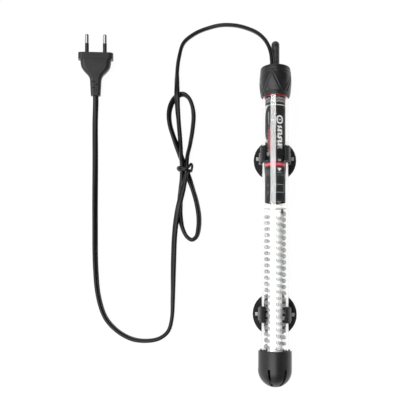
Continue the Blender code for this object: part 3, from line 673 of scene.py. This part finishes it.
def carve(piece, bm, angle, operation):
    """Cut a helper body, turned round the tube's axis, out of a piece or join it on."""
    mesh = bpy.data.meshes.new("helper")
    bm.to_mesh(mesh)
    bm.free()
    tool = bpy.data.objects.new("helper", mesh)
    bpy.context.scene.collection.objects.link(tool)
    tool.matrix_world = Matrix.Translation((0, 0, AXIS_Z)) @ Matrix.Rotation(angle, 4, "Y")
    step = piece.modifiers.new("carve", "BOOLEAN")
    step.operation = operation
    step.object = tool
    step.solver = "EXACT"
    bpy.context.view_layer.update()
    result = piece.evaluated_get(bpy.context.evaluated_depsgraph_get())
    shape = bpy.data.meshes.new_from_object(result)
    piece.modifiers.clear()
    old, piece.data = piece.data, shape
    bpy.data.meshes.remove(old)
    bpy.data.objects.remove(tool)


def make_guard():
    """The round-ended guard, slotted at its tip, its inner ribs gripping the glass."""
    foot_y, rim_y = low("bottom_guard").y, high("bottom_guard").y - RIB_PROUD
    centre_y = foot_y + GUARD_R
    inner_r = GUARD_R - GUARD_WALL
    soft = 0.35 * MM
    outside = arc(0, centre_y, GUARD_R, -90, 0, 36)
    rim = arc(GUARD_R - soft, rim_y - soft, soft, 0, 90, 4)
    rim += arc(inner_r + soft, rim_y - soft, soft, 90, 180, 4)
    profile = outside + rim + arc(0, centre_y, inner_r, 0, -90, 24)
    guard = put("guard_shell", revolve(profile, 144), looks["plastic"],
                replaces=["bottom_guard"])
    for k in range(GUARD_SLOTS):
        half = GUARD_SLOT_WIDTH / 2
        cut = box_mesh((-half, foot_y + 1.2 * MM, 3 * MM), (half, centre_y + 1.2 * MM, 20 * MM))
        carve(guard, cut, GUARD_FIRST_SLOT + 2 * math.pi * k / GUARD_SLOTS, "DIFFERENCE")
    for angle in GUARD_RIB_ANGLES + tuple(-a for a in GUARD_RIB_ANGLES):
        rib = box_mesh((-RIB_HALF_WIDTH, rim_y - RIB_LENGTH, TUBE_R + 0.3 * MM),
                       (RIB_HALF_WIDTH, rim_y + RIB_PROUD, GUARD_R - 0.8 * MM))
        carve(guard, rib, math.radians(angle), "UNION")
    guard.data.set_sharp_from_angle(angle=math.radians(35))


make_glass()
make_stopper()
make_cap()
make_knob()
make_guard()


# Print on the sleeves and the dial. Shapes are lists of (s, y) corners in millimetres, and
# HALF_TURN is how far it is from the front line to the back line.
HALF_TURN = math.pi * INK_R / MM


def bar(s0, y0, s1, y1):
    """A rectangle between two corners."""
    return [(s0, y0), (s1, y0), (s1, y1), (s0, y1)]


def stroke(points, width, closed=False):
    """A line of this width through the points, as four-cornered shapes."""
    count = len(points)
    sides = []
    for i, (s, y) in enumerate(points):
        before = points[i - 1] if i or closed else points[i]
        after = points[(i + 1) % count] if i < count - 1 or closed else points[i]
        along = Vector((after[0] - before[0], after[1] - before[1])).normalized() * width / 2
        sides.append(((s + along.y, y - along.x), (s - along.y, y + along.x)))
    pairs = list(zip(sides, sides[1:] + sides[:1]))
    if not closed:
        pairs.pop()
    return [[a[0], b[0], b[1], a[1]] for a, b in pairs]


def oval(s, y, across, up, steps=28):
    """An oval round a middle, by its half width and half height."""
    turns = [2 * math.pi * i / steps for i in range(steps)]
    return [(s + across * math.cos(t), y + up * math.sin(t)) for t in turns]


def rounded(s0, y0, s1, y1, radius, steps=4):
    """Outline of a rectangle with round corners."""
    points = []
    corners = ((s1 - radius, y1 - radius), (s0 + radius, y1 - radius),
               (s0 + radius, y0 + radius), (s1 - radius, y0 + radius))
    for k, (s, y) in enumerate(corners):
        for i in range(steps + 1):
            t = math.pi / 2 * (k + i / steps)
            points.append((s + radius * math.cos(t), y + radius * math.sin(t)))
    return points


def ink(name, shapes, look, body="heater", radius=INK_R):
    """Flat shapes cut into narrow strips and bent round the sleeve, face outwards."""
    bm = bmesh.new()
    for shape in shapes:
        face = bm.faces.new([bm.verts.new((s * MM, y * MM, 0)) for s, y in shape])
        face.normal_update()
        if face.normal.z < 0:
            face.normal_flip()
    reach = [v.co.x for v in bm.verts]
    strip = 0.7 * MM
    for k in range(math.ceil(min(reach) / strip), math.floor(max(reach) / strip) + 1):
        bmesh.ops.bisect_plane(bm, geom=bm.verts[:] + bm.edges[:] + bm.faces[:],
                               plane_co=(k * strip, 0, 0), plane_no=(1, 0, 0))
    for v in bm.verts:
        a = v.co.x / radius
        v.co = Vector((radius * math.sin(a), v.co.y, AXIS_Z + radius * math.cos(a)))
    put(name, bm, looks[look], body, sharp=60, keep_normals=True)


def window_edge(y):
    """Left edge of the black field in front of the clear window, a stretch of an ellipse."""
    reach, centre, half_height = 13.1, 75, 19.7
    return -reach * math.sqrt(1 - ((y - centre) / half_height) ** 2)


def print_window():
    """The white ground of the clear window, left of the black field."""
    back, foot, top, steps = -23, 58, 92, 24
    rows = [foot + (top - foot) * k / steps for k in range(steps + 1)]
    window = [[(back, y0), (window_edge(y0), y0), (window_edge(y1), y1), (back, y1)]
              for y0, y1 in zip(rows, rows[1:])]
    ink("print_window", window, "white_ink")


def zigzag(y):
    """A row of points all round the sleeve, up and down by a millimetre."""
    waves = 19
    step = HALF_TURN / waves
    return [((k - waves) * step, y + (1 if k % 2 else -1)) for k in range(2 * waves + 1)]


def ripples():
    """A column of short waves with a dot under each, where a name would stand."""
    shapes = []
    for k in range(6):
        y = 71.6 - 3.3 * k
        wave = [(1.8 + 0.36 * i, y + 0.7 * math.sin(math.pi * i / 3.2 + 2.1 * k)) for i in range(13)]
        shapes += stroke(wave, 1.25)
        shapes.append(oval(2.6 + 3.1 * (k % 2), y - 1.65, 0.7, 0.55, 12))
    return shapes


def print_upper_sleeve():
    print_window()
    top = high("upper_sleeve").y / MM
    lines = [bar(-HALF_TURN, 91.8, HALF_TURN, 92.4)]
    for drop in (1.9, 4.5):
        lines += stroke(zigzag(top - drop), 0.6)
    emblem_y = 78.3
    emblem = stroke(oval(3.9, emblem_y, 2.6, 3.4), 1.3, True)
    wave = [(2.7 + 0.4 * i, emblem_y + 0.5 * math.cos(math.pi * i / 3)) for i in range(7)]
    emblem += stroke(wave, 0.6)
    arrow = stroke([(1.8, 51.6), (3.9, 53.4), (6, 51.6)], 0.6)
    dots = [oval(-6.3, y, 0.5, 0.5, 10) for y in (76.1, 74.3)]
    ink("print_white", lines + emblem + arrow + dots, "white_ink", radius=OVERPRINT_R)
    ink("print_ripples", ripples(), "white_ink", radius=OVERPRINT_R)
    blocks = [bar(-6.9, 77.4, -5.9, 86), bar(-8.6, 45.4, -5.4, 48.8)]
    ink("print_grey", blocks, "grey_ink", radius=OVERPRINT_R)
    scale_left = -7.6
    ticks = []
    for k in range(8):
        tick_top = 70.7 - 2.95 * k
        ticks.append(bar(scale_left, tick_top - 1.4, -4.8 - 0.8 * (k % 2), tick_top))
    ink("print_ticks", ticks, "black_ink", radius=OVERPRINT_R)
    ink("print_scale", [bar(scale_left, 47.4, -4.2, 71.3)], "rose_ink")


DIGIT_BARS = {"0": "abcdef", "2": "abged", "4": "fgbc", "6": "afgedc", "8": "abcdefg", "3": "abgcd"}


def digit(sign, s, y, width=1.0, height=1.55, line=0.26):
    """A plain number drawn with up to seven bars."""
    top, centre, foot, right = y + height - line, y + (height - line) / 2, y, s + width - line
    bars = {
        "a": bar(s, top, s + width, top + line), "g": bar(s, centre, s + width, centre + line),
        "d": bar(s, foot, s + width, foot + line), "f": bar(s, centre, s + line, top + line),
        "e": bar(s, foot, s + line, centre + line), "b": bar(right, centre, s + width, top + line),
        "c": bar(right, foot, s + width, centre + line)}
    return [bars[name] for name in DIGIT_BARS[sign]]


def print_dial():
    """Temperatures round the ring in nine even places, one left empty, over a red band."""
    numbers = ["20", "22", "24", "26", "28", "30", "32", "34"]
    shapes = []
    for k, number in enumerate(numbers):
        s = (k - 3.5) * 2 * HALF_TURN / 9 + 0.4
        for place, sign in enumerate(number):
            shapes += digit(sign, s + 1.45 * place - 1.2, 40.2)
    ink("dial_numbers", shapes, "white_ink", "dial")
    rings = [bar(-HALF_TURN, 38.5, HALF_TURN, 39.6), bar(-HALF_TURN, 35, HALF_TURN, 36.1)]
    ink("dial_rings", rings, "dark_red_ink", "dial")
    ink("dial_red", [bar(-HALF_TURN, 36.2, HALF_TURN, 38.4)], "red_ink", "dial")


def print_lower_sleeve():
    """A pointer under the dial, and a plain frame with two small hooks beside it."""
    frame_line = stroke(rounded(-2.6, 12, 8.6, 19, 1.8), 0.5, True)
    for y in (18.2, 12):
        frame_line += stroke([(-7.9, y + 1.1), (-6.9, y - 0.9), (-5.9, y + 1.1)], 0.5)
    ink("print_arrow", [[(3.6, 30.8), (5.8, 33.9), (1.4, 33.9)]], "white_ink")
    ink("print_lines", frame_line + [bar(1.8, 29.6, 5.8, 30.2)], "grey_ink")
    ink("print_band", [bar(-14, 27, -3.6, 32.6), bar(-3.6, 27, 14, 28.4)], "olive_ink",
        radius=INK_R - 0.02 * MM)


print_upper_sleeve()
print_dial()
print_lower_sleeve()


# Heating element

def make_coil():
    """The resistance wire, wound into a fine spiral and laid round the core as a wide helix."""
    box_low, box_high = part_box("heating_coil")
    coil_r = (box_high.x - box_low.x) / 2 - COIL_REACH
    start, end = box_high.y - COIL_REACH, box_low.y + COIL_REACH
    sides, steps = 3, 8
    count = COIL_TURNS * WINDINGS_PER_TURN * steps
    bm = bmesh.new()
    rings = []
    for i in range(count + 1):
        a = COIL_START - 2 * math.pi * COIL_TURNS * i / count
        out = Vector((math.cos(a), 0, math.sin(a)))
        around = Vector((-math.sin(a), 0, math.cos(a)))
        phase = 2 * math.pi * i / steps
        ray = math.cos(phase) * out + math.sin(phase) * Vector((0, 1, 0))
        y = start + (end - start) * i / count
        centre = Vector((0, y, AXIS_Z)) + coil_r * out + WINDING_R * ray
        rings.append([bm.verts.new(centre + WIRE_R * (
            math.cos(2 * math.pi * k / sides) * ray + math.sin(2 * math.pi * k / sides) * around))
            for k in range(sides)])
    skin(bm, rings)
    put("coil_winding", bm, looks["wire"], replaces=["heating_coil"], sharp=180)


def make_crimp():
    """The dark ferrule that joins the lead to the coil."""
    lead = low("neutral_lead")
    crimp_r, soft = 0.9 * MM, 0.2 * MM
    top = lead.y + 1.6 * MM
    foot = top - 3.8 * MM
    profile = [(0, foot), (crimp_r - soft, foot), (crimp_r, foot + soft), (crimp_r, top - soft),
               (crimp_r - soft, top), (0, top)]
    put("crimp", revolve(profile, 24, (5.95 * MM, 0, AXIS_Z + 5.2 * MM)), looks["dark_steel"])


make_coil()
make_crimp()


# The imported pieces' own surfaces

def soften(node, width):
    """Round a moulding's sharp edges."""
    step = nodes[node].modifiers.new("soft_edges", "BEVEL")
    step.width = width
    step.segments = 2
    step.limit_method = "ANGLE"
    step.angle_limit = math.radians(40)
    step.use_clamp_overlap = True
    step.harden_normals = True


def dress_nodes():
    """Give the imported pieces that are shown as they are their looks."""
    dressed = {
        "clip": ("upper_clip", "lower_clip"),
        "rubber": ("upper_suction_cup", "lower_suction_cup", "cord_gland", "stem_seal"),
        "plug": ("plug_body", "pin_sleeve_left", "pin_sleeve_right"),
        "black_ink": ("upper_sleeve", "lower_sleeve", "dial_ring"),
        "nickel": ("plug_pin_left", "plug_pin_right"),
        "brass": ("adjuster_stem", "threaded_bush", "contact_arm", "contact_arm_pin", "fixed_contact"),
        "steel": ("bimetal_strip", "snap_magnet", "return_lead"),
        "board": ("thermostat_frame", "lamp_resistor", "interference_capacitor"),
        "lamp": ("indicator_lamp",),
        "sleeving": ("live_lead", "neutral_lead"),
        "ceramic": ("ceramic_core",),
        "mica": ("upper_spacer", "lower_spacer")}
    for look, names in dressed.items():
        for name in names:
            nodes[name].data.materials[0] = looks[look]
    for name in ("upper_clip", "lower_clip"):
        soften(name, 0.25 * MM)
    soften("plug_body", 0.25 * MM)


dress_nodes()


# Floor and light

def make_floor():
    """A plain pale sheet that glows a little, so that it stays white all round the object."""
    bm = bmesh.new()
    bmesh.ops.create_grid(bm, x_segments=1, y_segments=1, size=2.5)
    mesh = bpy.data.meshes.new("floor")
    bm.to_mesh(mesh)
    bm.free()
    floor = bpy.data.objects.new("floor", mesh)
    bpy.context.scene.collection.objects.link(floor)
    look, tree, shader = new_look("floor_paper")
    drift = noise(tree, 2)
    tree.links.new(mix(tree, drift, (0.07, 0.07, 0.07), (0.09, 0.09, 0.09)), shader.inputs["Base Color"])
    shader.inputs["Roughness"].default_value = 0.9
    shader.inputs["Specular IOR Level"].default_value = 0.0
    shader.inputs["Emission Color"].default_value = (1, 1, 1, 1)
    shader.inputs["Emission Strength"].default_value = 0.96
    mesh.materials.append(look)


def grey_ramp(tree, value, stops):
    """Greys at places along a value that runs from -1 to 1."""
    ramp = tree.nodes.new("ShaderNodeValToRGB")
    tree.links.new(spread(tree, value, -1, 1, 0, 1), ramp.inputs["Fac"])
    elements = ramp.color_ramp.elements
    while len(elements) < len(stops):
        elements.new(0.5)
    for element, (place, grey) in zip(elements, stops):
        element.position = (place + 1) / 2
        element.color = (grey, grey, grey, 1)
    return ramp.outputs["Color"]


def make_dome():
    """A white studio dome, brighter on the left of the print than on the right, dim past both ends."""
    world = bpy.data.worlds.new("Studio")
    bpy.context.scene.world = world
    world.use_nodes = True
    tree = world.node_tree
    place = tree.nodes.new("ShaderNodeTexCoord")
    split = tree.nodes.new("ShaderNodeSeparateXYZ")
    tree.links.new(place.outputs["Generated"], split.inputs[0])
    across = ((-1, 0.36), (-0.8, 0.36), (-0.52, 0.95), (-0.08, 1), (0.24, 0.10), (0.72, 0.06),
              (0.9, 0.15))
    along = ((-0.75, 0.22), (-0.38, 1), (0.08, 1), (0.36, 0.27), (1, 0.3))
    back = tree.nodes["Background"]
    tree.links.new(grey_ramp(tree, split.outputs["X"], across), back.inputs["Color"])
    level = grey_ramp(tree, split.outputs["Y"], along)
    tree.links.new(spread(tree, level, 0, 1, 0, 2.6), back.inputs["Strength"])


def make_strip():
    """The long softbox that draws the bright line down the glass."""
    lamp = bpy.data.lights.new("glass_strip", "AREA")
    lamp.shape = "RECTANGLE"
    lamp.size = 0.88
    lamp.size_y = 2.4
    lamp.energy = 185
    light = bpy.data.objects.new("glass_strip", lamp)
    light.location = (-0.37, 0, 0.925)
    light.visible_diffuse = False
    light.visible_transmission = False
    bpy.context.scene.collection.objects.link(light)
    lit = bpy.data.collections.new("glass_only")
    lit.objects.link(bpy.data.objects["glass"])
    light.light_linking.receiver_collection = lit


make_floor()
make_dome()
make_strip()
bpy.context.scene.view_settings.view_transform = "Standard"
